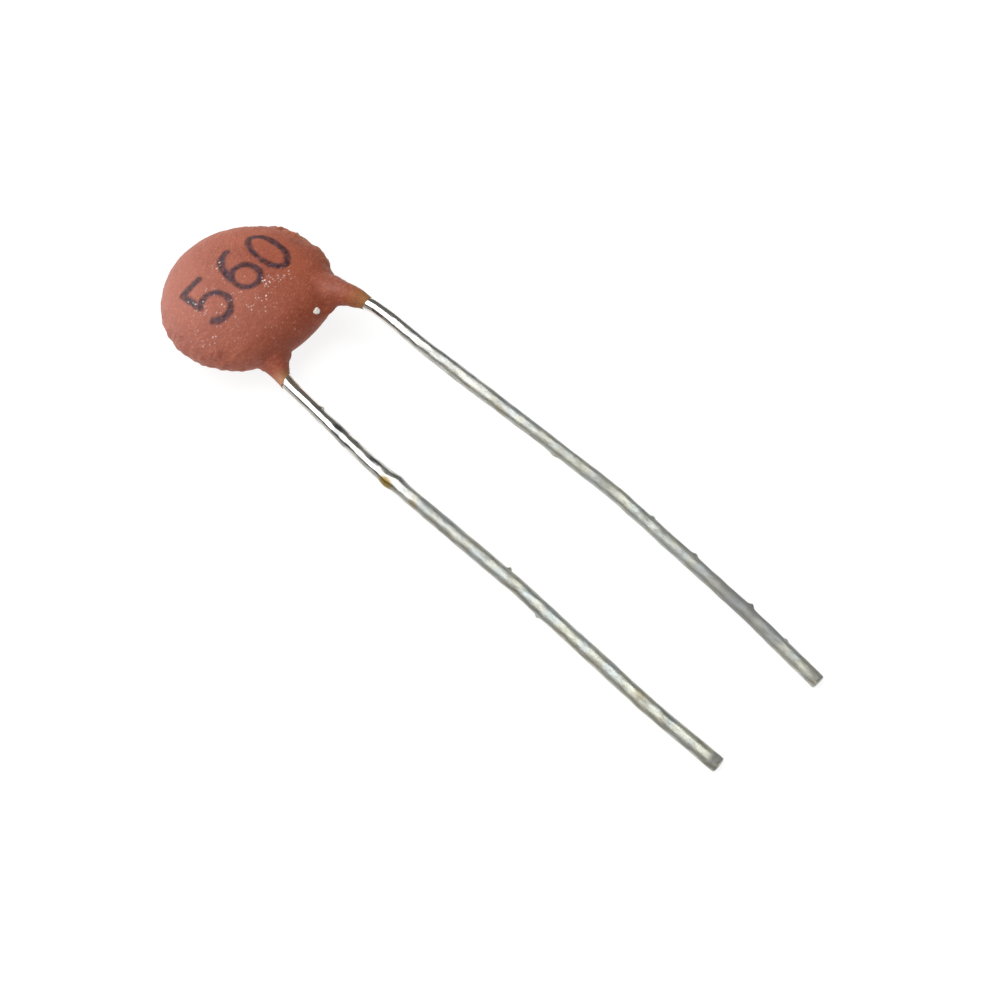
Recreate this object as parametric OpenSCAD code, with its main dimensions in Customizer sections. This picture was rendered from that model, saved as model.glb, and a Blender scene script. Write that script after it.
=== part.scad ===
// Ceramic disc capacitor with two radial leads, lying on its rear face.
// The pieces are drawn about the middle of the disc: the leads leave towards -Y, one on each face,
// the front face looks up, and right means +X. The whole part is then set down on the table.

/* [Ceramic disc] */
// Diameter of the ceramic disc
ceramic_d = 5; // [4.6:0.1:6]
// Thickness of the ceramic disc
ceramic_t = 0.5; // [0.3:0.05:0.9]
// Bare ceramic left around each silver film
electrode_margin = 0.3; // [0.15:0.05:0.5]
// Thickness of each silver film
electrode_t = 0.02; // [0.01:0.005:0.04]

/* [Leads] */
// Diameter of the tinned wire
lead_d = 0.5; // [0.4:0.05:0.6]
// Distance between the wires where they leave the resin
lead_pitch = 3.98; // [3.4:0.02:4.6]
// How far the middle of the two wires lies to the right of the disc's middle
lead_shift = 0.62; // [0:0.02:0.8]
// Angle at which each wire spreads outwards inside the resin
spread_angle = 19; // [12:1:24]
// How far each wire runs on past the point nearest the disc's middle
lead_lap = 0.75; // [0.4:0.05:1]
// Straight wire that shows beyond a leg of resin before the wire bends
stub_l = 0.1; // [0.05:0.01:0.2]
// Level length of wire from that bend to where it dips to the table
level_l = 0.9; // [0.8:0.05:1.5]

/* [Right lead, on the front face] */
// How far the leg of resin reaches past the rim
right_leg_l = 0.53; // [0.4:0.01:0.9]
// Length of the free wire, from its leg to its tip
right_free_l = 19.7; // [15:0.1:30]
// Share of the free wire in each stretch between the slight bends
right_stretch_shares = [0.538, 0.299, 0.163]; // [0:0.001:1]
// Heading of each stretch, in degrees outwards
right_headings = [3, -1.7, -4.5]; // [-6:0.1:6]

/* [Left lead, on the rear face] */
// How far the leg of resin reaches past the rim
left_leg_l = 0.26; // [0.24:0.01:0.8]
// Length of the free wire, from its leg to its tip
left_free_l = 19.35; // [15:0.05:30]
// Share of the free wire in each stretch between the slight bends
left_stretch_shares = [0.178, 0.372, 0.295, 0.155]; // [0:0.001:1]
// Heading of each stretch, in degrees outwards
left_headings = [3.05, -0.84, 1.5, -1.6]; // [-6:0.01:6]

/* [Solder] */
// Solder between a wire and its silver film
solder_film_t = 0.03; // [0.02:0.01:0.06]
// Width of the bead where it wets the film
solder_w = 1.1; // [0.9:0.05:1.3]
// Height of the bead above the film
solder_h = 0.42; // [0.34:0.02:0.5]
// Length of wire that the bead lies along
solder_l = 1.6; // [1:0.1:1.9]

/* [Resin coating] */
// Resin over the wires at the disc's middle
face_wall = 0.5; // [0.4:0.05:0.8]
// Resin around the edge of the ceramic
rim_wall = 0.8; // [0.7:0.05:1.2]
// Radius of the rounded rim
rim_r = 0.65; // [0.55:0.05:0.8]
// How far the rim is drawn in, to a straight edge, between the legs
rim_draw_in = 0.41; // [0.2:0.01:0.5]
// Resin around a wire at the end of its leg
leg_wall = 0.1; // [0.06:0.01:0.16]
// Radius of the hollow curve between a leg and the rim
leg_fillet_r = 0.88; // [0.6:0.02:1]

/* [Hidden] */
$fn = 64;
right = 1;
left = -1;

// The stack, from the middle of the ceramic outwards
lead_r = lead_d / 2;
film_z = ceramic_t / 2 + electrode_t;
wire_z = film_z + solder_film_t + lead_r;
electrode_d = ceramic_d - 2 * electrode_margin;

// The coated body: a lens with a rounded rim
half_t = wire_z + lead_r + face_wall;
body_r = ceramic_d / 2 + rim_wall;
rim_ring_r = body_r - rim_r;
dome_rise = half_t - rim_r;
dome_r = (rim_ring_r * rim_ring_r + dome_rise * dome_rise) / (2 * dome_rise);

// The straight edge between the legs: a nose as round as the rim, with flanks that slope up to the domes
nose_y = rim_draw_in + rim_r - body_r;
flank_start_angle = 54;

// The legs of resin, with fillets a little slimmer than the leg they start in, and webs slimmer again
leg_r = lead_r + leg_wall;
fillet_tube_share = 0.92;
web_share = 0.84;
fillet_fall_share = 0.8;
fillet_tube_r = leg_r * fillet_tube_share;
fillet_bend_r = leg_fillet_r + fillet_tube_r;

// The ball that rounds each slight bend of a wire
bend_ball_share = 1.03;

// The solder bead is a capsule that is sunk into the silver film's plane
bead_r = (solder_w * solder_w / 4 + solder_h * solder_h) / (2 * solder_h);

function pick(side, right_value, left_value) = side == right ? right_value : left_value;
function total(list, i = 0) = i < len(list) ? list[i] + total(list, i + 1) : 0;

// Where a leg ends, in plan, and how its wire lies to the disc's middle
function leg_end(side) = [
  lead_shift + side * lead_pitch / 2,
  -body_r - pick(side, right_leg_l, left_leg_l)
];
function to_nearest(side) =
  -leg_end(side).y * cos(spread_angle) + side * leg_end(side).x * sin(spread_angle);
function miss(side) =
  side * leg_end(side).x * cos(spread_angle) + leg_end(side).y * sin(spread_angle);

// The free wire in level view: its stretches, and the way each one heads
function headings(side) = pick(side, right_headings, left_headings);
function stretches(side) =
  pick(side, right_free_l, left_free_l) * pick(side, right_stretch_shares, left_stretch_shares);
function forward(side, heading) = [side * sin(heading), -cos(heading), 0];
function outward(side, heading) = [side * cos(heading), sin(heading), 0];

// The dip that brings a wire's tip down to the table
function swing(side, i) = headings(side)[i] - headings(side)[0];
function ahead(side) =
  total([for (i = [0:len(stretches(side)) - 1]) stretches(side)[i] * cos(swing(side, i))]);
function dip(side) = asin((half_t + side * wire_z - lead_r) / ahead(side));
function downhill(side, i) =
  let (first = headings(side)[0])
  cos(swing(side, i)) * (cos(dip(side)) * forward(side, first) - [0, 0, sin(dip(side))])
  + sin(swing(side, i)) * outward(side, first);

// A wire's corners, from its soldered end to its tip
function exit_corner(side) =
  [leg_end(side).x, leg_end(side).y, side * wire_z]
  + stub_l * forward(side, spread_angle);
function soldered_end(side) =
  [leg_end(side).x, leg_end(side).y, side * wire_z]
  - (to_nearest(side) + lead_lap) * forward(side, spread_angle);
function onward(side, from, i) =
  i < len(stretches(side))
    ? concat([from], onward(side, from + stretches(side)[i] * downhill(side, i), i + 1))
    : [from];
function corners(side) = concat(
  [soldered_end(side), exit_corner(side)],
  onward(side, exit_corner(side) + level_l * forward(side, headings(side)[0]), 0)
);

function tip(side) = corners(side)[len(corners(side)) - 1];

// The part's box in plan, whose middle is set over the origin
widest_x = max(body_r, max([for (point = corners(right)) point.x]) + lead_r);
set_down = [(body_r - widest_x) / 2, -(body_r + min(tip(right).y, tip(left).y)) / 2, half_t];

module mirrored_to(side) {
  mirror([0, 0, side == right ? 0 : 1]) children();
}

// The end of a leg, with +Z along the wire towards its tip, +Y up and +X to the right
module at_leg(side) {
  translate([leg_end(side).x, leg_end(side).y, side * wire_z])
    rotate([90, 0, side * spread_angle]) children();
}

// A round rod from one point to another
module rod(from, to, r) {
  way = to - from;
  translate(from) rotate([0, acos(way.z / norm(way)), atan2(way.y, way.x)]) cylinder(h = norm(way), r = r);
}

// The straight length of a wire that lies on the disc and in its leg of resin
module coated_wire(side) {
  rod(soldered_end(side), exit_corner(side), lead_r);
}

// A whole wire: rods from corner to corner, with a ball in each slight bend
module lead(side) {
  points = corners(side);
  coated_wire(side);
  for (i = [1:len(points) - 2]) {
    rod(points[i], points[i + 1], lead_r);
    translate(points[i]) rotate([90, 0, 0]) sphere(r = lead_r * bend_ball_share);
  }
}

module film(side) {
  mirrored_to(side) translate([0, 0, ceramic_t / 2]) cylinder(h = electrode_t, d = electrode_d);
}

module capsule(length, r) {
  rotate_extrude() intersection() {
    union() {
      circle(r = r);
      translate([0, length]) circle(r = r);
      square([r, length]);
    }
    translate([0, -r]) square([r, length + 2 * r]);
  }
}

// A bead of solder that joins the end of a wire to the silver film
module bead(side) {
  sunk = lead_r + solder_film_t + bead_r - solder_h;
  difference() {
    intersection() {
      at_leg(side) translate([0, -side * sunk, lead_r - to_nearest(side) - lead_lap])
        capsule(solder_l, bead_r);
      mirrored_to(side) translate([0, 0, film_z]) cylinder(h = lead_d, d = electrode_d);
    }
    coated_wire(side);
  }
}

// A fillet: a round rod that starts along +Z, bends towards +X and falls towards +Y, with a web behind it
module fillet(sweep) {
  end = fillet_bend_r * [1 - cos(sweep), sin(sweep)];
  rotate([0, 0, atan(wire_z * fillet_fall_share / end.x)]) {
    translate([fillet_bend_r, 0, 0]) rotate([90, 0, 180])
      rotate_extrude(angle = sweep) translate([fillet_bend_r, 0]) circle(r = fillet_tube_r);
    rotate([90, 0, 0]) linear_extrude(height = 2 * leg_r * web_share, center = true) difference() {
      square(end + [0, leg_r]);
      translate([fillet_bend_r, 0]) circle(r = fillet_bend_r);
    }
  }
}

// Everything on the body's side of the straight edge between the legs
module behind_edge() {
  across = 2 * body_r;
  start = rim_r * [-cos(flank_start_angle), sin(flank_start_angle)] + [nose_y, 0];
  rise = start.y + (across - start.x) / tan(flank_start_angle);
  rotate([90, 0, 90]) linear_extrude(height = 2 * across, center = true) {
    translate([nose_y, 0]) circle(r = rim_r);
    polygon([[start.x, -start.y], start, [across, rise], [across, -rise]]);
  }
}

module lens() {
  tangent_x = rim_ring_r * (1 + rim_r / dome_r);
  rotate_extrude() {
    translate([rim_ring_r, 0]) circle(r = rim_r);
    intersection() {
      for_both_faces() circle(r = dome_r + rim_r);
      translate([0, -half_t]) square([tangent_x, 2 * half_t]);
    }
  }
}

module for_both_faces() {
  intersection() {
    translate([0, dome_rise - dome_r]) children();
    translate([0, dome_r - dome_rise]) children();
  }
}

// A leg of resin: a sleeve on the wire, with a hollow curve into the straight edge and one into the rim
module leg(side) {
  run_out_y = rim_draw_in - body_r + fillet_tube_r - fillet_bend_r * (1 - sin(spread_angle));
  to_edge = (run_out_y - leg_end(side).y) / cos(spread_angle);
  centre_x = miss(side) + fillet_bend_r;
  centre_d = body_r - fillet_tube_r + fillet_bend_r;
  to_rim = to_nearest(side) - sqrt(centre_d * centre_d - centre_x * centre_x);
  at_leg(side) rotate([0, 180, 0]) {
    cylinder(h = to_nearest(side), r = leg_r);
    mirror([0, side == right ? 1 : 0, 0]) {
      mirror([side == right ? 0 : 1, 0, 0]) translate([0, 0, max(to_edge, leg_wall)])
        fillet(90 - spread_angle);
      mirror([side == right ? 1 : 0, 0, 0]) translate([0, 0, max(to_rim, leg_wall)])
        fillet(acos(centre_x / centre_d));
    }
  }
}

module resin_coating() {
  color("peru") translate(set_down) difference() {
    union() {
      intersection() {
        lens();
        behind_edge();
      }
      leg(right);
      leg(left);
    }
    cylinder(h = ceramic_t, d = ceramic_d, center = true);
    for (side = [right, left]) {
      film(side);
      bead(side);
      coated_wire(side);
    }
  }
}

module ceramic_disc() {
  color("wheat") translate(set_down) cylinder(h = ceramic_t, d = ceramic_d, center = true);
}

module front_electrode() {
  color("gainsboro") translate(set_down) film(right);
}

module rear_electrode() {
  color("gainsboro") translate(set_down) film(left);
}

module front_solder() {
  color("lightslategray") translate(set_down) bead(right);
}

module rear_solder() {
  color("lightslategray") translate(set_down) bead(left);
}

module right_lead() {
  color("silver") translate(set_down) lead(right);
}

module left_lead() {
  color("silver") translate(set_down) lead(left);
}

resin_coating();
ceramic_disc();
front_electrode();
rear_electrode();
front_solder();
rear_solder();
right_lead();
left_lead();
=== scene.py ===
# %% [markdown]
# # A dipped ceramic disc capacitor
# The part is a small ceramic disc with a wire soldered to each face. The whole disc is dipped in resin, which
# leaves a lens-shaped coat and a short leg of resin on each wire. The construction is loaded as a fixed frame.
# What the camera sees, the coat and the two wires, is modelled again on top of it with everything a drawing
# leaves out: the uneven rim, the ragged ends of the legs, the stamp, and wire that has been handled.

# %% Load the frame
import math

import bpy
import numpy as np
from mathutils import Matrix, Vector, noise


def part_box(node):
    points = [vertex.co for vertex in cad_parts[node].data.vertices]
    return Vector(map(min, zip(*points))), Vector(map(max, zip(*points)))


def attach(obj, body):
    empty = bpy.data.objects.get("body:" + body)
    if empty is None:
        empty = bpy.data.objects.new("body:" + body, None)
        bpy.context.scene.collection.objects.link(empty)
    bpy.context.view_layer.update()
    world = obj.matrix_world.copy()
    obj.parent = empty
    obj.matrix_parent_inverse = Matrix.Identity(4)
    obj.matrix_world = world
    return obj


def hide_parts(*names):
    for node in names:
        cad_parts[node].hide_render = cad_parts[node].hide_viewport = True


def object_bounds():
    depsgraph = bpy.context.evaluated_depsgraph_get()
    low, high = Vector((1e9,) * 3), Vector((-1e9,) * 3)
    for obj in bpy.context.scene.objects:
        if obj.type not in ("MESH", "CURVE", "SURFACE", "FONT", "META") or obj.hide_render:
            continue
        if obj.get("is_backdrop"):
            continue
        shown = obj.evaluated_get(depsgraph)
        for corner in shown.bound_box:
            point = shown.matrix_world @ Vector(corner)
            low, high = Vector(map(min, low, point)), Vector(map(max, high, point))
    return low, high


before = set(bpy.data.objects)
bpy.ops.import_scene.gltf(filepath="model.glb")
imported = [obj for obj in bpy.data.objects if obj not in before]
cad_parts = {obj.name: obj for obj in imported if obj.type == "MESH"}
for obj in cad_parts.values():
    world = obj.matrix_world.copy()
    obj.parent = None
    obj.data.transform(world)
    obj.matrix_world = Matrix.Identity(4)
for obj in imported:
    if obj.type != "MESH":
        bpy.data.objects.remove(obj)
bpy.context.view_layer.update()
MM = 0.001
disc_low, disc_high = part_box("ceramic_disc")
disc_middle = (disc_low + disc_high) / 2


def in_mm(lengths):
    return [round(length / MM, 2) for length in lengths]


print("middle of the disc in mm:", in_mm(disc_middle))

# %% [markdown]
# ## The camera
# The photo looks down steeply from the side of the left wire. The middle of the disc lies to the upper left of
# the picture, so the camera is placed from where that point appears: so many pixels right and up of the middle,
# at the depth where a body of this radius has the width it shows.

# %% Place the camera
PICTURE = 1000
FOCAL = 1350
SENSOR = 36
BODY_R = 3.3
SHOWN_R = 89.0
SHOWN_AT = 249.0, 297.6
azimuth, elevation = math.radians(-46.1), math.radians(59)
level = math.cos(elevation)
back = Vector((math.sin(azimuth) * level, -math.cos(azimuth) * level, math.sin(elevation)))
right = Vector((math.cos(azimuth), math.sin(azimuth), 0))
up = back.cross(right)
depth = FOCAL * BODY_R * MM / SHOWN_R
seen_right, seen_up = (SHOWN_AT[0] - PICTURE / 2) / FOCAL, (PICTURE / 2 - SHOWN_AT[1]) / FOCAL


def select_only(*pieces):
    bpy.ops.object.select_all(action="DESELECT")
    for piece in pieces:
        piece.select_set(True)
        bpy.context.view_layer.objects.active = piece


select_only()
bpy.ops.object.camera_add()
camera = bpy.context.object
camera.location = disc_middle + depth * (back - seen_right * right - seen_up * up)
camera.rotation_euler = back.to_track_quat("Z", "Y").to_euler()
camera.data.sensor_width = SENSOR
camera.data.lens = SENSOR * FOCAL / PICTURE
camera.data.clip_start = MM
camera.data.dof.use_dof = False
bpy.context.scene.camera = camera
print("camera in mm:", in_mm(camera.location))

# %% [markdown]
# ## The coat: a lens
# The coat is modelled about the middle of the disc with one unit to the millimetre, and shrunk to its true size
# at the end, because the tools that melt pieces together stop at a tenth of a millimetre. It begins as a ball
# pressed flat. Resin runs down while it dries, with the wires upwards, so the side between the wires stays
# straighter than the rest: those points are drawn in.

# %% Press a ball into a lens
BODY_T = 2.6
EDGE_START = -2.2
EDGE_DRAWN_IN = 0.6


def edit(piece):
    select_only(piece)
    bpy.ops.object.mode_set(mode="EDIT")
    bpy.ops.mesh.select_mode(type="VERT")
    bpy.ops.mesh.select_all(action="SELECT")


def done():
    bpy.ops.object.mode_set(mode="OBJECT")


def points_of(piece):
    flat = np.zeros(len(piece.data.vertices) * 3)
    piece.data.vertices.foreach_get("co", flat)
    return flat.reshape(-1, 3)


def pick(piece, chosen):
    done()
    piece.data.polygons.foreach_set("select", np.zeros(len(piece.data.polygons), bool))
    piece.data.edges.foreach_set("select", np.zeros(len(piece.data.edges), bool))
    piece.data.vertices.foreach_set("select", np.ascontiguousarray(chosen))
    bpy.ops.object.mode_set(mode="EDIT")


select_only()
bpy.ops.mesh.primitive_uv_sphere_add(segments=128, ring_count=64, radius=BODY_R)
coat = bpy.context.object
coat.name = "dipped_coat"
edit(coat)
bpy.ops.transform.resize(value=(1, 1, BODY_T / 2 / BODY_R))
pick(coat, points_of(coat)[:, 1] < EDGE_START)
bpy.ops.transform.resize(value=(1, EDGE_DRAWN_IN, 1), center_override=(0, EDGE_START, 0))
done()
print("lens in mm:", [round(s, 2) for s in coat.dimensions])

# %% [markdown]
# ## The legs
# Each wire leaves the coat in a leg of resin. Wet resin creeps up a wire and pulls itself into hollow curves, wide
# where it meets the rim and no more than a film at its end. A leg is drawn by pushing out a disc step by step from
# its thin end to deep inside the lens, and giving each step its own width, height and lift. It follows the frame's
# own wire, so the middle of each ring of points on that wire is found first.

# %% Route of each wire
WIRE_R = 0.25
RING_GAP = 0.3


def route_of(node):
    spots = np.array([v.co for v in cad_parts[node].data.vertices]) / MM - np.array(disc_middle) / MM
    spots = spots[np.argsort(-spots[:, 1])]
    groups = np.split(spots, np.where(np.diff(spots[:, 1]) < -RING_GAP)[0] + 1)
    return np.array([(g.min(0) + g.max(0)) / 2 for g in groups])


def inward_of(route):
    step = route[0] - route[1]
    return step / np.linalg.norm(step)


right_route, left_route = route_of("right_lead"), route_of("left_lead")
right_in, left_in = inward_of(right_route), inward_of(left_route)
right_end, left_end = right_route[1] + 0.1 * right_in, left_route[1] + 0.1 * left_in
print("right route:", np.round(right_route, 2).tolist())
print("left route:", np.round(left_route, 2).tolist())

# %% Push out the two legs
RAGGED = 0.3
TOOTH = 0.10
TEETH = 9

# Each step of a leg: along, aside, half its width, half its height, lift
RIGHT_STEPS = [
    (0.08, 0.00, 0.258, 0.258, 0.00), (0.20, 0.02, 0.285, 0.285, 0.00), (0.40, 0.07, 0.325, 0.33, -0.01),
    (0.80, 0.12, 0.39, 0.38, -0.05), (1.05, 0.10, 0.43, 0.43, -0.10), (1.25, 0.07, 0.49, 0.47, -0.14),
    (1.40, 0.05, 0.56, 0.50, -0.17), (1.55, 0.05, 0.64, 0.52, -0.20), (1.90, 0.06, 0.70, 0.54, -0.25),
    (2.30, 0.05, 0.60, 0.52, -0.29), (2.70, 0.00, 0.40, 0.46, -0.34)]
LEFT_STEPS = [
    (0.00, 0.00, 0.258, 0.258, 0.00), (0.15, -0.02, 0.270, 0.270, 0.00), (0.30, -0.05, 0.305, 0.32, 0.02),
    (0.50, -0.05, 0.37, 0.38, 0.06), (0.65, -0.06, 0.43, 0.43, 0.11), (0.78, -0.07, 0.53, 0.48, 0.17),
    (0.90, -0.06, 0.68, 0.53, 0.23), (1.30, 0.00, 0.66, 0.54, 0.28), (2.20, 0.00, 0.45, 0.48, 0.36)]


def push_out_leg(name, start, inward, steps, overrun, crown):
    select_only()
    bpy.ops.mesh.primitive_circle_add(vertices=48, radius=1, fill_type="NGON", rotation=(math.pi / 2, 0, 0))
    leg = bpy.context.object
    leg.name = name
    bpy.ops.object.transform_apply(location=False, rotation=True, scale=False)
    edit(leg)
    along, aside, wide, high, lift = steps[0]
    bpy.ops.transform.resize(value=(wide, 1, high))
    bpy.ops.transform.translate(value=(aside, along, lift))
    for to_along, to_aside, to_wide, to_high, to_lift in steps[1:]:
        bpy.ops.mesh.extrude_region_move(
            TRANSFORM_OT_translate={"value": (to_aside - aside, to_along - along, to_lift - lift)})
        bpy.ops.transform.resize(
            value=(to_wide / wide, 1, to_high / high), center_override=(to_aside, to_along, to_lift))
        along, aside, wide, high, lift = to_along, to_aside, to_wide, to_high, to_lift
    bpy.ops.mesh.select_all(action="SELECT")
    bpy.ops.mesh.normals_make_consistent(inside=False)
    done()
    for v in leg.data.vertices:
        side, top = v.co.x / steps[0][2], v.co.z / steps[0][3]
        tooth = noise.noise(Vector((v.co.x * TEETH, v.co.z * TEETH, len(steps))))
        v.co.y -= max(0, 1 - v.co.y / RAGGED) * (overrun * side + crown * top + TOOTH * tooth)
    leg.rotation_euler = (0, 0, math.atan2(-inward[0], inward[1]))
    leg.location = start
    bpy.ops.object.transform_apply(location=True, rotation=True, scale=False)
    return leg


right_leg = push_out_leg("right_leg", right_end, right_in, RIGHT_STEPS, 0.06, 0.08)
left_leg = push_out_leg("left_leg", left_end, left_in, LEFT_STEPS, -0.17, 0.03)
print("legs:", len(right_leg.data.polygons), "and", len(left_leg.data.polygons), "faces")

# %% [markdown]
# ## A web beside the right leg
# Resin also stays hanging in the corner between the right leg and the straight edge, like the web between two
# fingers. A ball pressed flat, turned along the leg and sunk into that corner is enough: the melting that follows
# joins it to its neighbours.

# %% Set the web
select_only()
across = np.array([right_in[1], -right_in[0], 0])
bpy.ops.mesh.primitive_uv_sphere_add(segments=48, ring_count=24, radius=1)
web = bpy.context.object
web.name = "web"
edit(web)
bpy.ops.transform.resize(value=(0.52, 0.50, 0.28))
bpy.ops.transform.rotate(value=math.atan2(right_in[0], right_in[1]), orient_axis="Z", center_override=(0, 0, 0))
bpy.ops.transform.translate(value=(right_end + 1.75 * right_in - 0.45 * across) * (1, 1, 0) + (0, 0, 0.10))
done()
print("web:", [round(s, 2) for s in web.dimensions])

# %% [markdown]
# ## One skin
# The lens and its legs are joined and melted into one skin of small even squares. Then the skin is relaxed, most
# of all where a leg runs into the rim, so that no crease is left. Vertex groups say how far each point may move, so
# the thin ends of the legs keep their shape.

# %% Melt into one skin
SKIN_SQUARE = 0.042
select_only(right_leg, left_leg, web, coat)
bpy.ops.object.join()
coat.data.remesh_voxel_size = SKIN_SQUARE
bpy.ops.object.voxel_remesh()
print("skin:", len(coat.data.vertices), "points")

# %% Relax the skin
NEAR_LEG = 1.6
WEIGHT_STEPS = 50


def weigh(piece, name, weights):
    group = piece.vertex_groups.new(name=name)
    steps = np.round(np.clip(weights, 0, 1) * WEIGHT_STEPS).astype(int)
    for step in range(1, WEIGHT_STEPS + 1):
        group.add(np.where(steps == step)[0].tolist(), step / WEIGHT_STEPS, "REPLACE")


def soft_step(low, high, value):
    t = np.clip((np.asarray(value) - low) / (high - low), 0, 1)
    return t * t * (3 - 2 * t)


def apply(piece, kind, **settings):
    select_only(piece)
    modifier = piece.modifiers.new(kind.lower(), kind)
    for key, value in settings.items():
        setattr(modifier, key, value)
    bpy.ops.object.modifier_apply(modifier=modifier.name)


def along_leg(spots, start, inward):
    return (spots - start) @ inward


def near_axis(spots, start, inward):
    offset = spots - start
    return np.linalg.norm(offset - np.outer(offset @ inward, inward), axis=1)


def end_of_leg(spots, start, inward, low, high):
    ending = 1 - soft_step(low, high, along_leg(spots, start, inward))
    return np.where(near_axis(spots, start, inward) < NEAR_LEG, ending, 0)


spots = points_of(coat)
in_legs = end_of_leg(spots, right_end, right_in, 0.3, 1.0) + end_of_leg(spots, left_end, left_in, 0.2, 0.6)
in_legs = np.clip(in_legs, 0, 1)
weigh(coat, "relax", 1 - 0.85 * in_legs)
apply(coat, "SMOOTH", factor=0.5, iterations=20, vertex_group="relax")
spots = points_of(coat)
from_root = (along_leg(spots, right_end, right_in) - 2.0) / 0.7
weigh(coat, "root", np.exp(-from_root ** 2 - near_axis(spots, right_end, right_in) ** 2))
apply(coat, "SMOOTH", factor=0.5, iterations=160, vertex_group="root")
print("points held in the legs:", int((in_legs > 0.5).sum()))

# %% [markdown]
# ## Resin over the wire
# Relaxing draws a leg in, and the wire inside could come through. Where the skin lies closer to the wire than it
# should, it is pushed out, softly, so that no step shows. The bare end of a leg, which is only a film, is spared.

# %% Hold the skin over the wires
BARE = 0.3
COVER_R = 0.30
COVER_EASE = 0.05


def hold_over(start, inward, high):
    spots = points_of(coat)
    offset = spots - start
    along = offset @ inward
    out = offset - np.outer(along, inward)
    distance = np.linalg.norm(out, axis=1)
    here = (along > BARE) & (along < high) & (distance < COVER_R + 4 * COVER_EASE) & (distance > 0.05)
    wanted = COVER_R + COVER_EASE * np.logaddexp(0, (distance[here] - COVER_R) / COVER_EASE)
    push = (wanted - distance[here]) / distance[here] * soft_step(BARE, BARE + 0.3, along[here])
    spots[here] += out[here] * push[:, None]
    coat.data.vertices.foreach_set("co", spots.ravel())
    coat.data.update()


def thinnest(start, inward, high):
    spots = points_of(coat)
    along = along_leg(spots, start, inward)
    return round(near_axis(spots, start, inward)[(along > BARE) & (along < high)].min() - WIRE_R, 3)


def print_cover():
    cover = thinnest(right_end, right_in, 3.2), thinnest(left_end, left_in, 2.6)
    print("thinnest resin over the wires in mm:", *cover)


hold_over(right_end, right_in, 3.4)
hold_over(left_end, left_in, 3.0)
print_cover()

# %% [markdown]
# ## The uneven rim
# Dipped resin is never even. The rim is first trimmed, a little in or out towards a few listed directions. Then
# clouds push the skin in and out: broad and low over the faces, short and stronger around the rim, and strongest at
# the right, where the coat ran together in small lobes.

# %% Trim the rim
spots = points_of(coat)
around = np.arctan2(spots[:, 1], spots[:, 0])
reach = np.hypot(spots[:, 0], spots[:, 1])
at_rim = soft_step(2.65, 3.2, reach) * (1 - soft_step(0.5, 1.0, np.abs(spots[:, 2])))

# Each trim: how far out in mm, towards which direction and over what spread in degrees
TRIMS = (-0.07, 132, 26), (-0.09, 224, 11), (0.09, 29, 8), (0.08, 348, 7), (-0.05, 336, 5)


def toward(direction, spread):
    return np.exp(-(np.angle(np.exp(1j * (around - math.radians(direction)))) / math.radians(spread)) ** 2)


trim = sum(far * toward(direction, spread) for far, direction, spread in TRIMS)
spots[:, :2] *= 1 + (trim * at_rim * (1 - in_legs) / np.maximum(reach, 1))[:, None]
coat.data.vertices.foreach_set("co", spots.ravel())
print("rim trimmed in mm from", round(trim.min(), 3), "to", round(trim.max(), 3))

# %% Push lumps out of the skin
weigh(coat, "rim", at_rim * (1 - in_legs) * np.clip(0.10 + 0.90 * toward(8, 40) + 0.50 * toward(190, 45), 0, 1))
weigh(coat, "face", 1 - in_legs)


def lumps(piece, name, size, strength, mid_level, vertex_group=""):
    texture = bpy.data.textures.new(name, "CLOUDS")
    texture.noise_scale = size
    texture.noise_depth = 1
    apply(piece, "DISPLACE", texture=texture, strength=strength, mid_level=mid_level, vertex_group=vertex_group)


lumps(coat, "broad", 1.8, 0.05, 0.5, "face")
lumps(coat, "lobes", 0.42, 0.25, 0.45, "rim")
lumps(coat, "beads", 0.2, 0.09, 0.5, "rim")
lumps(coat, "pimples", 0.14, 0.022, 0.5, "face")
print("coat after lumps:", [round(s, 2) for s in coat.dimensions])
print_cover()

# %% [markdown]
# ## The stamp
# A value code is stamped on the front face while the part lies on its back. It is colour, not relief, so it is
# painted: every point of the skin is given its distance to the nearest stroke, and takes ink where that is less than
# half a stroke. The three figures are plain ones, drawn as a stamp's single line.

# %% Draw the figures
FIGURE_H = 2.0


def arc(cx, cy, rx, ry, start, end, count=40):
    turn = np.radians(np.linspace(start, end, count))
    return np.column_stack([cx + rx * np.cos(turn), cy + ry * np.sin(turn)])


def line(*corners):
    corners = np.array(corners, float)
    return np.concatenate([np.linspace(a, b, 24) for a, b in zip(corners, corners[1:])])


def set_figure(figure, place, turn):
    turned = np.array([[math.cos(turn), math.sin(turn)], [-math.sin(turn), math.cos(turn)]])
    return figure * FIGURE_H @ turned + place


FIVE = np.concatenate([line((0.24, 0.5), (-0.17, 0.5), (-0.21, 0.04)), arc(0.0, -0.19, 0.27, 0.29, 135, -145)])
SIX = np.concatenate([arc(0.16, -0.16, 0.39, 0.66, 88, 178), arc(0.01, -0.22, 0.25, 0.27, 0, 360)])
NOUGHT = arc(0, 0, 0.25, 0.49, 0, 360, 80)
strokes = np.concatenate([
    set_figure(FIVE, (-1.61, 0.1), 0.06), set_figure(SIX, (0.0, 0.33), 0.03), set_figure(NOUGHT, (1.45, 0.36), -0.06)])
print("points along the strokes:", len(strokes))

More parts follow.
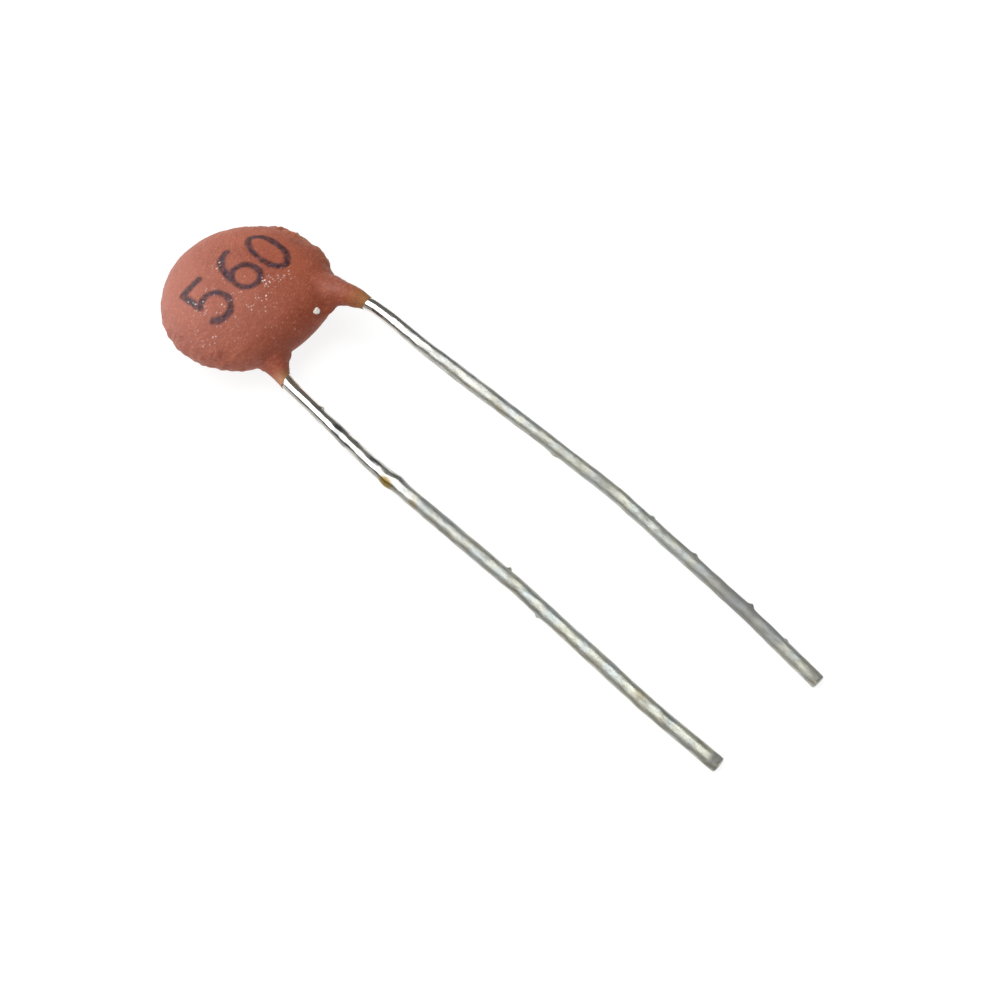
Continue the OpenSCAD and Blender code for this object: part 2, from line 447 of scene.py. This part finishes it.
# %% Ink the skin
STROKE = 0.27
INK_EDGE = 0.06
spots = points_of(coat)
upper = spots[:, 2] > 0
away = np.full(len(spots), 9.0)
for part in np.array_split(np.where(spots[:, 2] > 0.2)[0], 20):
    gap = spots[part][:, None, :2] - strokes[None]
    away[part] = np.sqrt((gap ** 2).sum(2)).min(1)
wander = np.array([noise.noise(Vector(p) * 2.0) + 0.5 * noise.noise(Vector(p) * 6.0) for p in spots])
ink = 1 - soft_step(STROKE / 2 - INK_EDGE, STROKE / 2 + INK_EDGE, away + 0.05 * wander)
smudge = np.exp(-(((spots[:, 0] - 2.58) / 0.2) ** 2 + ((spots[:, 1] - 0.16) / 0.3) ** 2)) * upper
ink = np.maximum(ink, 0.3 * smudge)
print("inked points:", int((ink > 0.5).sum()))

# %% [markdown]
# ## Thin resin, painted light, painted glints and sheen
# The coat is not one colour, and light and shade are painted into it as well. It is pale where it runs out to a film on
# the wires, lightened over the right rim as painted light, darkened in the root of the right leg as painted shade,
# shinier towards the far side, and scattered with painted glints. Each of these is a number on every point of the
# skin, between nought and one, which the material reads later.

# %% Thin resin
ON_LEG = 0.75
on_right = near_axis(spots, right_end, right_in) < ON_LEG
on_left = near_axis(spots, left_end, left_in) < ON_LEG
right_film = 0.85 - 0.85 * soft_step(-0.1, 1.2, along_leg(spots, right_end, right_in))
left_film = 1 - soft_step(0.0, 0.5, along_leg(spots, left_end, left_in))
film = np.clip(np.where(on_right, right_film, 0) + np.where(on_left, left_film, 0), 0, 1)
tan = np.where(on_left, soft_step(-0.1, 0.25, left_end[0] - spots[:, 0]), 0)
# Painted light: the right rim is lightened with the colours of thin resin
painted_light_rim = at_rim * toward(3, 26)
film, tan = np.maximum(film, 0.4 * painted_light_rim), np.maximum(tan, painted_light_rim)
print("film points:", int((film > 0.5).sum()))

# %% Painted glints and sheen
# Each patch of painted glints: place in mm, size in mm, strength
GLINTS = (
    (0.45, -0.83, 0.30, 1.0), (0.99, -0.95, 0.36, 0.75), (0.09, -1.31, 0.26, 0.7), (-0.56, -0.57, 0.2, 0.9),
    (-1.96, 0.13, 0.28, 0.95), (-1.69, -1.79, 0.24, 0.9), (-1.83, 1.34, 0.15, 0.5), (-0.34, 1.07, 0.2, 0.7),
    (-1.34, -0.41, 0.2, 0.7), (-2.06, -0.66, 0.2, 0.5), (-2.07, 0.61, 0.2, 0.5), (-0.49, -1.47, 0.6, 0.42),
    (-2.4, -0.9, 0.6, 0.38))
ALL_OVER = 0.18


def blob(middle, size):
    return np.exp(-((spots - middle) ** 2).sum(1) / size ** 2)


def keep(piece, **states):
    for name, values in states.items():
        piece.data.attributes.new(name, "FLOAT", "POINT").data.foreach_set("value", values.astype(np.float32))


near_half = soft_step(0.8, -0.4, spots[:, 0]) * soft_step(1.4, 0.4, spots[:, 1]) * soft_step(3.0, 2.6, reach)
# Painted glints: where these numbers are high, small cells of the colour turn near white
glint = ALL_OVER * near_half * upper
for x, y, size, strength in GLINTS:
    patch = np.exp(-((spots[:, 0] - x) ** 2 + (spots[:, 1] - y) ** 2) / size ** 2)
    glint = np.maximum(glint, strength * patch * upper)
far_side = (spots[:, 1] * 0.94 - spots[:, 0] * 0.35) / BODY_R
on_root = blob(right_end + 1.3 * right_in + 0.2 * across + (0, 0, 0.4), 0.55)
haze = np.clip(0.53 + 0.30 * far_side + 0.60 * on_root + 0.40 * at_rim * toward(150, 45), 0.2, 1) * (1 - 0.35 * ink)
# Painted shade: the root of the right leg is darkened where shade falls under it
shade = blob(right_end + 1.8 * right_in - 0.1 * across, 0.8)
keep(coat, ink=ink, film=film, tan=tan, shade=shade, glint=glint, haze=haze)
print("sparkling points:", int((glint > 0.5).sum()))

# %% [markdown]
# ## True size
# The coat is finished, so it is shrunk to its true size and moved to the disc's place. It rides with the one body
# of the frame and stands in for the drawn coat there.

# %% True size and place


def to_true_size(piece):
    edit(piece)
    bpy.ops.transform.resize(value=(MM, MM, MM), center_override=(0, 0, 0))
    bpy.ops.transform.translate(value=disc_middle)
    done()
    select_only(piece)
    bpy.ops.object.shade_smooth()


to_true_size(coat)
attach(coat, "root")
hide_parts("resin_coating")
print("coat in mm:", in_mm(coat.dimensions))

# %% [markdown]
# ## The wires
# A wire is a line with a round section drawn along it. The line is taken from the frame's own wire and eased at
# its bends, since a hand bends wire in a curve and not in a corner. Along the way it is set a few hundredths of a
# millimetre aside, as no hand-straightened wire is straight.

# %% Ease the routes
STEP = 0.06
BEND = 0.5
LAST_STEPS = np.array([0.3, 0.55, 0.75, 0.9, 1.0])


def ease(route):
    length = np.concatenate([[0], np.cumsum(np.linalg.norm(np.diff(route, axis=0), axis=1))])
    marks = np.linspace(0, length[-1], int(length[-1] / STEP))
    path = np.column_stack([np.interp(marks, length, route[:, k]) for k in range(3)])
    count = int(BEND / STEP)
    weights = np.hanning(2 * count + 3)[1:-1]
    weights /= weights.sum()
    longer = np.concatenate([
        path[0] + (path[0] - path[1]) * np.arange(count, 0, -1)[:, None], path,
        path[-1] + (path[-1] - path[-2]) * np.arange(1, count + 1)[:, None]])
    path = np.column_stack([np.convolve(longer[:, k], weights, "valid") for k in range(3)])
    finer = np.concatenate([np.arange(len(path) - 1), len(path) - 2 + LAST_STEPS])
    path = np.column_stack([np.interp(finer, np.arange(len(path)), path[:, k]) for k in range(3)])
    return path, np.interp(finer, np.arange(len(marks)), marks) - length[1]


right_path, right_marks = ease(right_route)
right_path[:, 0] -= np.interp(right_marks, (0.5, 2.5, 4, 7, 17, 20), (0, 0.07, 0.05, 0.04, 0.06, 0.065))
left_path, left_marks = ease(left_route)
left_path[:, 0] += np.interp(left_marks, (0.5, 2.5, 16, 20), (0, 0.015, 0.015, -0.02))
print("free wire in mm:", round(right_marks[-1], 1), "and", round(left_marks[-1], 1))

# %% Draw the wires


def draw_wire(name, path):
    select_only()
    bpy.ops.curve.primitive_nurbs_path_add()
    wire = bpy.context.object
    wire.name = name
    wire.data.splines.clear()
    spline = wire.data.splines.new("POLY")
    spline.points.add(len(path) - 1)
    spline.points.foreach_set("co", np.column_stack([path, np.ones(len(path))]).ravel())
    wire.data.dimensions = "3D"
    wire.data.bevel_depth = WIRE_R
    wire.data.bevel_resolution = 14
    wire.data.use_fill_caps = True
    bpy.ops.object.convert(target="MESH")
    wire = bpy.context.object
    edit(wire)
    bpy.ops.mesh.remove_doubles(threshold=0.0005)
    bpy.ops.mesh.normals_make_consistent(inside=False)
    done()
    return wire


right_wire, left_wire = draw_wire("right_wire", right_path), draw_wire("left_wire", left_path)
print("wires:", len(right_wire.data.vertices), "and", len(left_wire.data.vertices), "points")

# %% [markdown]
# ## Handled wire
# Tinned wire is drawn bright, and then it is straightened, gripped and cut. It gets shallow waves, small burrs on
# its sides and a tip that the cutter has pinched. Close to the resin it is still smooth; further out its skin is
# frosted, and one lead is dull towards its end. To say where such a mark sits, every point of the skin is first given
# its distance along the wire and the way it faces: at 0 degrees to one side, at 90 towards the camera.

# %% Place of each point on its wire


class Skin:
    def __init__(self, wire, path, marks):
        self.wire, self.tip = wire, marks[-1]
        self.spots = points_of(wire)
        nearest = np.concatenate([
            ((part[:, None] - path[None]) ** 2).sum(2).argmin(1) for part in np.array_split(self.spots, 40)])
        self.along = marks[nearest]
        out = self.spots - path[nearest]
        distance = np.linalg.norm(out, axis=1)
        self.out = out / np.maximum(distance, 1e-6)[:, None]
        self.on_skin = soft_step(0.1, 0.2, distance)
        tangent = np.gradient(path, axis=0)
        tangent /= np.linalg.norm(tangent, axis=1)[:, None]
        aside = np.cross(np.array(back), tangent)
        aside /= np.linalg.norm(aside, axis=1)[:, None]
        self.aside, self.facing = aside[nearest], np.cross(tangent, aside)[nearest]
        self.front = (self.out * self.facing).sum(1)
        side = np.degrees(np.arctan2(self.front, (self.out * self.aside).sum(1)))
        self.side = np.where(side < -90, side + 360, side)
        self.worn = np.interp(self.along, (0.8, 3.0), (0.0, 1.0))
        self.waves, self.dents = self.ripple(1.6, 0.9), self.ripple(5, 2.2)

    def ripple(self, thick, long):
        return np.array([noise.noise(Vector((x * thick, y * long, z * thick))) for x, y, z in self.spots])

    def from_mark(self, place, turn, stretch):
        turn = math.radians(turn)
        way = math.cos(turn) * self.aside + math.sin(turn) * self.facing
        round_it = WIRE_R * np.arccos(np.clip((self.out * way).sum(1), -1, 1))
        return np.hypot((self.along - place) / stretch, round_it)


right_skin, left_skin = Skin(right_wire, right_path, right_marks), Skin(left_wire, left_path, left_marks)
print("dents from", round(left_skin.dents.min(), 2), "to", round(left_skin.dents.max(), 2))

# %% Shape the wires
TIP_ROUND = 0.07
TIP_PINCH = 0.3

# Each burr: distance along in mm, turn in degrees, size, height, stretch along the wire
LEFT_BURRS = (
    (1.77, 0, 0.10, 0.05, 1), (5.55, 165, 0.28, 0.06, 1), (5.85, 0, 0.28, 0.05, 1), (10.97, 0, 0.07, 0.10, 1),
    (12.75, 180, 0.08, 0.07, 1))
RIGHT_BURRS = (
    (4.4, 185, 0.24, 0.05, 9), (8.93, 180, 0.16, 0.05, 1), (12.99, 0, 0.08, 0.05, 1), (14.91, 0, 0.10, 0.06, 1),
    (17.4, 5, 0.09, 0.09, 1), (18.97, 0, 0.07, 0.05, 1))


def shape(skin, burrs, swell, cut):
    lift = 0.012 * skin.waves + 0.015 * skin.dents * (0.2 + 0.8 * skin.worn)
    lift += swell * soft_step(2.0, 5.0, skin.along) * soft_step(-0.9, -0.2, skin.out[:, 2])
    for place, turn, size, height, stretch in burrs:
        lift += height * np.exp(-(skin.from_mark(place, turn, stretch) / size) ** 2)
    to_tip = np.clip((skin.tip - skin.along) / TIP_ROUND, 0, 1)
    lift -= TIP_ROUND * (1 - np.sqrt(1 - (1 - to_tip) ** 2))
    pinch = np.clip(1 - (skin.tip - skin.along) / TIP_PINCH, 0, 1)
    lift -= cut * pinch * soft_step(0.2, 0.9, skin.front)
    moved = skin.spots + skin.out * (lift * skin.on_skin * soft_step(-0.2, 0.3, skin.along))[:, None]
    skin.wire.data.vertices.foreach_set("co", moved.ravel())
    print(skin.wire.name, "pushed in mm from", round(lift.min(), 3), "to", round(lift.max(), 3))


shape(left_skin, LEFT_BURRS, swell=0.018, cut=0.09)
shape(right_skin, RIGHT_BURRS, swell=0.0, cut=0.03)

# %% [markdown]
# ## Frost, stains and a painted dark line
# The look of each wire changes along its length, so its states are kept with the points too: how frosted, how dull and
# how stained it is, and where a painted dark reflection runs along its lower side, with the underside beyond it painted
# darker too. The stages are pairs of a distance from the resin and a strength, and what lies between two of them is
# blended.

# %% Mark the wires
PAINTED_LINE_SIDE = 132
SHARP_LINE = 11

# Stages: distance along in mm, strength. Each stain and each painted shade: distance along, turn in degrees, size,
# strength
LEFT_FROST = (0, 0), (3.5, 0.05), (5.4, 0.3), (7.0, 0.8), (10, 1), (20, 1)
RIGHT_FROST = (0, 0), (1.2, 0.1), (3.0, 0.5), (6.0, 0.8), (9, 1), (21, 1)
LEFT_DULL = (
    (0, 0), (4.1, 0), (4.35, 0.3), (4.6, 0), (6.0, 0.1), (7.0, 0.35), (9.5, 0.3), (12, 0.1), (19.85, 0),
    (19.95, 0.8), (20.1, 0.8), (20.2, 0.2))
RIGHT_DULL = (
    (0, 0), (1.5, 0), (3.0, 0.25), (10, 0.3), (13.5, 0.2), (15.5, 0.6), (16.8, 1), (18.3, 0.95), (19.3, 0.35),
    (20.0, 0.1), (20.3, 0.6), (20.7, 0.2))
# The first left entry is painted shade that darkens the wire's reflection where it leaves the leg; the rest are stains
LEFT_STAINS_AND_SHADE = (
    (0.2, 20, 0.25, 0.7), (5.57, 138, 0.22, 1.0), (5.67, 100, 0.1, 0.35), (6.9, 128, 0.15, 0.5), (17.0, 60, 0.16, 0.35),
    (18.1, 80, 0.14, 0.2))
RIGHT_STAINS = (6.5, 130, 0.2, 0.25), (20.45, 125, 0.07, 0.4)


def mark(skin, frosted, dulled, stains, painted_line_strength, spread, under):
    frost, dull = (np.interp(skin.along, *zip(*stages)) for stages in (frosted, dulled))
    stain = np.zeros(len(skin.spots))
    for place, turn, size, strength in stains:
        patch = 1 - soft_step(size * 0.6, size * 1.3, skin.from_mark(place, turn, 1.4))
        stain = np.maximum(stain, strength * patch)
    bright = 1 - soft_step(0.1, 0.6, frost)
    # Painted reflection: a dark line along the lower side, and a darker underside beyond it
    sharp = np.exp(-((skin.side - PAINTED_LINE_SIDE - 8 * skin.dents) / SHARP_LINE) ** 2)
    blurred = np.exp(-((skin.side - PAINTED_LINE_SIDE - 14 * skin.dents) / spread) ** 2)
    below = (under + (0.08 - under) * bright) * soft_step(150, 200, skin.side)
    low = np.maximum(bright * sharp + (1 - bright) * blurred, below) * (painted_line_strength + (0.85 - painted_line_strength) * bright)
    keep(skin.wire, frost=frost, dull=dull, stain=stain, low=low, worn=skin.worn)
    skin.wire.data.update()


mark(left_skin, LEFT_FROST, LEFT_DULL, LEFT_STAINS_AND_SHADE, painted_line_strength=0.85, spread=16, under=0.4)
mark(right_skin, RIGHT_FROST, RIGHT_DULL, RIGHT_STAINS, painted_line_strength=0.55, spread=11, under=0.2)
for wire, node in ((right_wire, "right_lead"), (left_wire, "left_lead")):
    to_true_size(wire)
    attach(wire, "root")
    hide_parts(node)
    print(wire.name, "in mm:", in_mm(wire.dimensions))

# %% [markdown]
# ## A white crumb
# One crumb of something white sits on the coat, near the edge between the legs. It is a small ball, pushed out of
# round and sunk a little into the resin.

# %% Set down the crumb
select_only()
bpy.ops.mesh.primitive_ico_sphere_add(subdivisions=4, radius=0.14)
crumb = bpy.context.object
crumb.name = "white_crumb"
edit(crumb)
bpy.ops.transform.resize(value=(1.0, 0.85, 0.75))
bpy.ops.transform.translate(value=(1.08, -2.62, 0.50))
done()
lumps(crumb, "crumb_lumps", 0.09, 0.07, 0.55)
to_true_size(crumb)
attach(crumb, "root")
print("crumb in mm:", in_mm(crumb.dimensions))

# %% [markdown]
# ## Materials
# Every material is a small recipe of noises in the object's own coordinates, so it needs no picture and stays with
# the piece wherever it goes. A few helpers keep the recipes short: each adds one node and hands back its output.

# %% Recipe helpers


class Recipe:
    def __init__(self, name):
        self.material = bpy.data.materials.new(name)
        self.material.use_nodes = True
        self.tree = self.material.node_tree
        self.shader = self.tree.nodes["Principled BSDF"]
        self.place = self.tree.nodes.new("ShaderNodeTexCoord").outputs["Object"]

    def node(self, kind, inputs=None, **settings):
        made = self.tree.nodes.new(kind)
        for key, value in settings.items():
            setattr(made, key, value)
        for key, value in (inputs or {}).items():
            self.put(made.inputs[key], value)
        return made

    def put(self, socket, value):
        if isinstance(value, bpy.types.NodeSocket):
            self.tree.links.new(value, socket)
        else:
            socket.default_value = value

    def set(self, **inputs):
        for key, value in inputs.items():
            self.put(self.shader.inputs[key.replace("_", " ")], value)

    def noise(self, size, detail=3.0, place=None):
        made = self.node("ShaderNodeTexNoise", {
            "Vector": place or self.place, "Scale": 1 / (size * MM), "Detail": detail, "Roughness": 0.55})
        return made.outputs["Fac"]

    def stretched(self, x, y, z):
        return self.node("ShaderNodeMapping", {"Vector": self.place, "Scale": (x, y, z)}).outputs[0]

    def math(self, operation, a, b, clamp=False):
        return self.node("ShaderNodeMath", {0: a, 1: b}, operation=operation, use_clamp=clamp).outputs[0]

    def times(self, a, b):
        return self.math("MULTIPLY", a, b)

    def span(self, value, low, high, to_low=0.0, to_high=1.0, smooth=True):
        return self.node("ShaderNodeMapRange", {
            "Value": value, "From Min": low, "From Max": high, "To Min": to_low, "To Max": to_high},
            interpolation_type="SMOOTHSTEP" if smooth else "LINEAR").outputs["Result"]

    def mix(self, factor, a, b):
        mixed = self.node("ShaderNodeMix", data_type="RGBA")
        for key, value in ((0, factor), (6, a), (7, b)):
            self.put(mixed.inputs[key], value)
        return mixed.outputs[2]

    def attribute(self, name):
        return self.node("ShaderNodeAttribute", attribute_name=name).outputs["Fac"]

    def bump(self, height, distance, strength):
        return self.node("ShaderNodeBump", {
            "Height": height, "Distance": distance * MM, "Strength": strength}).outputs["Normal"]

    def onto(self, *pieces):
        for piece in pieces:
            piece.data.materials.clear()
            piece.data.materials.append(self.material)
        print(self.material.name, "on", len(pieces), "pieces, from", len(self.tree.nodes), "nodes")


# %% [markdown]
# ## The resin
# The dipping resin is full of mineral powder, so its skin is satin with a fine grain and a faint texture of sags. Its
# colour goes from a rosy brown at the left to orange at the right. Over this come the states kept on the points, in the
# order in which they lie: the painted shade in the root, the pale film with the painted light on the right rim, the
# ink, and last the painted glints, which are a few cells of a Voronoi pattern.

# %% Resin: colour
resin = Recipe("resin")
patch = resin.span(resin.noise(1.4, 2.0), 0.35, 0.65)
grain = resin.noise(0.06, 4.0)
sags = resin.noise(0.075, 3.0, resin.stretched(0.5, 1, 1))
rosy = resin.mix(patch, (0.375, 0.090, 0.049, 1), (0.437, 0.115, 0.064, 1))
orange = resin.mix(patch, (0.385, 0.083, 0.036, 1), (0.450, 0.106, 0.047, 1))
to_right = resin.node("ShaderNodeSeparateXYZ", {0: resin.place}).outputs["X"]
body = resin.mix(resin.span(to_right, -1.2 * MM, 2.2 * MM), rosy, orange)
# Painted shade: a darker colour mixed in at the root of the right leg
body = resin.mix(resin.times(resin.attribute("shade"), 0.45), body, (0.22, 0.055, 0.034, 1))
body = resin.mix(resin.span(sags, 0.5, 0.7, 0.0, 0.7), body, (0.56, 0.160, 0.088, 1))
body = resin.mix(resin.span(grain, 0.25, 0.5, 0.45, 0.0), body, (0.22, 0.045, 0.025, 1))
# The colour of thin resin, used also for the painted light on the right rim
thin_and_painted_light = resin.mix(resin.attribute("tan"), (0.34, 0.18, 0.065, 1), (0.55, 0.27, 0.15, 1))
body = resin.mix(resin.times(resin.attribute("film"), 0.9), body, thin_and_painted_light)
ink_tone = resin.span(resin.noise(0.35), 0.4, 0.6)
ink_colour = resin.mix(ink_tone, (0.050, 0.014, 0.016, 1), (0.072, 0.036, 0.055, 1))
ink_cover = resin.times(resin.attribute("ink"), resin.span(resin.noise(0.13), 0.3, 0.6, 0.7, 1.0))
body = resin.mix(ink_cover, body, ink_colour)
print("resin colour:", len(resin.tree.nodes), "nodes")

# %% Resin: painted glints and skin
GLINT_CELL = 0.085
shaken = resin.node("ShaderNodeTexNoise", {
    "Vector": resin.place, "Scale": 1 / (0.04 * MM), "Detail": 2.0}).outputs["Color"]
shaken = resin.node("ShaderNodeVectorMath", {0: shaken, 3: 0.07 * MM}, operation="SCALE").outputs[0]
shaken = resin.node("ShaderNodeVectorMath", {0: resin.place, 1: shaken}, operation="ADD").outputs[0]
cells = resin.node("ShaderNodeTexVoronoi", {"Vector": shaken, "Scale": 1 / (GLINT_CELL * MM)})
chosen = resin.node("ShaderNodeSeparateColor", {"Color": cells.outputs["Color"]}).outputs[0]
# Painted glints: the chosen Voronoi cells are mixed towards white in the base colour
share = resin.span(resin.attribute("glint"), 0.0, 1.0, 1.0, 0.35, False)
painted_glint = resin.math("MULTIPLY", resin.math("SUBTRACT", chosen, share), 3.2, True)
painted_glint = resin.times(painted_glint, resin.span(cells.outputs["Distance"], 0.2, 0.55, 1.0, 0.0))
relief = resin.math("ADD", grain, resin.times(sags, 0.6))
resin.set(
    Base_Color=resin.mix(painted_glint, body, (0.98, 0.92, 0.88, 1)), Roughness=resin.span(grain, 0.3, 0.7, 0.42, 0.58),
    Specular_IOR_Level=resin.attribute("haze"), Normal=resin.bump(relief, 0.04, 0.8))
resin.onto(coat)

# %% [markdown]
# ## The white of the crumb
# The crumb is chalky: nearly white, matt, and a little warmer in places. One noise between two whites does it.

# %% White crumb
chalk = Recipe("white_crumb")
chalk.set(Base_Color=chalk.mix(chalk.noise(0.06), (0.90, 0.85, 0.78, 1), (0.97, 0.95, 0.91, 1)), Roughness=0.6)
chalk.onto(crumb)

# %% [markdown]
# ## Tinned wire
# Tin is a bright metal, mirror-like where it is fresh and grey where it has frosted. Noises stretched along the wire
# give the streaks that drawing leaves. The states kept on the points choose between bright and frosted, and lay the
# dull length, a painted dark reflection along the lower side and the stains, with one painted shade, over them.
# Frosted tin is rougher, and dirt and the painted shade take some metal away.

# %% Tinned wire: colour
FRESH = (0.86, 0.84, 0.80, 1)
tin = Recipe("tinned_wire")
frost, dull, stain, low, worn = (tin.attribute(name) for name in ("frost", "dull", "stain", "low", "worn"))
drawn = tin.stretched(1, 0.3, 1)
tint, mottle, fine = tin.noise(0.9, 1.0), tin.noise(0.2, 3.0, drawn), tin.noise(0.06, 2.0, drawn)
tone = tin.mix(tin.span(tint, 0.35, 0.65), (0.56, 0.56, 0.47, 1), (0.50, 0.55, 0.54, 1))
blotch = tin.span(tin.noise(0.22, 2.0, drawn), 0.46, 0.60, 0.0, 0.85)
bright = tin.mix(blotch, FRESH, (0.25, 0.26, 0.28, 1))
tone = tin.mix(frost, tin.mix(tin.span(worn, 0.0, 1.0), FRESH, bright), tone)
tone = tin.mix(tin.times(frost, tin.span(mottle, 0.55, 0.7, 0.0, 0.5)), tone, (0.30, 0.28, 0.24, 1))
tone = tin.mix(tin.times(frost, tin.span(fine, 0.5, 0.66, 0.0, 0.45)), tone, (0.30, 0.29, 0.26, 1))
tone = tin.mix(tin.times(dull, 0.75), tone, (0.27, 0.27, 0.27, 1))
# Painted reflection: the dark line along the lower side
tone = tin.mix(low, tone, (0.19, 0.17, 0.14, 1))
# Stains, and the painted shade by the left leg, in one olive colour
tone = tin.mix(stain, tone, (0.24, 0.16, 0.035, 1))
print("wire colour:", len(tin.tree.nodes), "nodes")

# %% Tinned wire: skin
frosty = tin.math("ADD", tin.span(frost, 0.0, 1.0, 0.09, 0.43, False), tin.times(dull, 0.18))
frosty = tin.math("ADD", frosty, tin.times(frost, tin.span(mottle, 0.3, 0.7, -0.10, 0.12)))
rough_skin = tin.math("ADD", mottle, tin.times(fine, 0.2))
rough_skin = tin.times(rough_skin, tin.span(frost, 0.0, 1.0, 0.35, 1.0, False))
clean = tin.span(frost, 0.0, 1.0, 1.0, 0.85, False)
dirt_and_shade = tin.times(tin.math("MAXIMUM", dull, stain), 0.3)
tin.set(
    Base_Color=tone, Metallic=tin.math("SUBTRACT", clean, dirt_and_shade), Roughness=frosty,
    Normal=tin.bump(rough_skin, 0.02, 0.8))
tin.onto(right_wire, left_wire)

# %% [markdown]
# ## The pieces inside
# Nobody sees the ceramic, its silver films and the solder unless the coat is cut open, but they are there, and each
# has its own material: a matt cream, a fired silver and a dull grey metal. The frame's own coat and leads take the
# materials of the pieces that stand in for them.

# %% Hidden pieces
ceramic, silver, solder = Recipe("ceramic"), Recipe("silver_film"), Recipe("solder")
ceramic.set(Base_Color=ceramic.mix(ceramic.noise(0.3), (0.60, 0.49, 0.30, 1), (0.70, 0.60, 0.42, 1)), Roughness=0.75)
for metal, size, dark, pale, roughness in (
        (silver, 0.15, (0.60, 0.60, 0.57, 1), (0.74, 0.74, 0.72, 1), 0.42),
        (solder, 0.2, (0.32, 0.33, 0.35, 1), (0.46, 0.47, 0.49, 1), 0.45)):
    metal.set(Base_Color=metal.mix(metal.noise(size), dark, pale), Metallic=1.0, Roughness=roughness)
for recipe, nodes in (
        (ceramic, ("ceramic_disc",)), (silver, ("front_electrode", "rear_electrode")),
        (solder, ("front_solder", "rear_solder")), (tin, ("right_lead", "left_lead")), (resin, ("resin_coating",))):
    recipe.onto(*(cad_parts[node] for node in nodes))

# %% [markdown]
# ## Table and light
# The part lies on a white table in a dim room, since round wire needs something dark to reflect at its edges. The
# table shows its white to the camera and in reflections without lighting the part, and still takes its shadow. Four
# soft lights do the rest: a large one overhead, a small one above, a weak one in front and a low one at the back.

# %% Table
select_only()
bpy.ops.mesh.primitive_plane_add(size=1.2)
table = bpy.context.object
table.name = "table"
white = Recipe("table_white")
white.tree.nodes.clear()
rays = white.node("ShaderNodeLightPath").outputs
seen = white.math("MAXIMUM", rays["Is Camera Ray"], rays["Is Glossy Ray"])
seen = white.math("MAXIMUM", seen, rays["Is Transmission Ray"])
plain = white.node("ShaderNodeBsdfDiffuse", {"Color": (0.85, 0.85, 0.85, 1)}).outputs[0]
glow = white.node("ShaderNodeEmission", {"Strength": 1.16}).outputs[0]
both = white.node("ShaderNodeMixShader", {0: white.times(seen, 0.75), 1: plain, 2: glow}).outputs[0]
white.node("ShaderNodeOutputMaterial", {"Surface": both})
white.onto(table)
table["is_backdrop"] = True

# %% Room and lamps
world = bpy.data.worlds.new("room")
bpy.context.scene.world = world
world.use_nodes = True
sky = world.node_tree.nodes["Background"]
sky.inputs["Color"].default_value = (1, 0.97, 0.94, 1)
sky.inputs["Strength"].default_value = 0.13


def lamp(name, toward, away, size, high, energy):
    select_only()
    bpy.ops.object.light_add(type="AREA")
    made = bpy.context.object
    made.name = name
    made.data.shape = "ELLIPSE"
    made.data.size = size
    made.data.size_y = high
    made.data.energy = energy
    toward = Vector(toward).normalized()
    made.location = disc_middle + away * toward
    made.rotation_euler = toward.to_track_quat("Z", "Y").to_euler()
    print(name, "of", energy, "W at", in_mm(made.location))


lamp("overhead_light", (-0.42, 0.38, 0.82), 0.25, 0.30, 0.30, 0.51)
lamp("top_light", (0.27, 0.05, 0.96), 0.25, 0.15, 0.15, 0.155)
lamp("fill_light", (-0.75, -0.5, 0.42), 0.30, 0.20, 0.20, 0.10)
lamp("side_light", (-0.22, 0.93, 0.30), 0.30, 0.40, 0.16, 0.33)
bpy.context.scene.view_settings.view_transform = "Standard"

# %% [markdown]
# ## The sizes
# Last, the box of what is seen is measured. The dressed part should fill the same room as the construction and stay
# inside it, apart from a few hundredths of a millimetre.

# %% Measure the sizes
low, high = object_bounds()
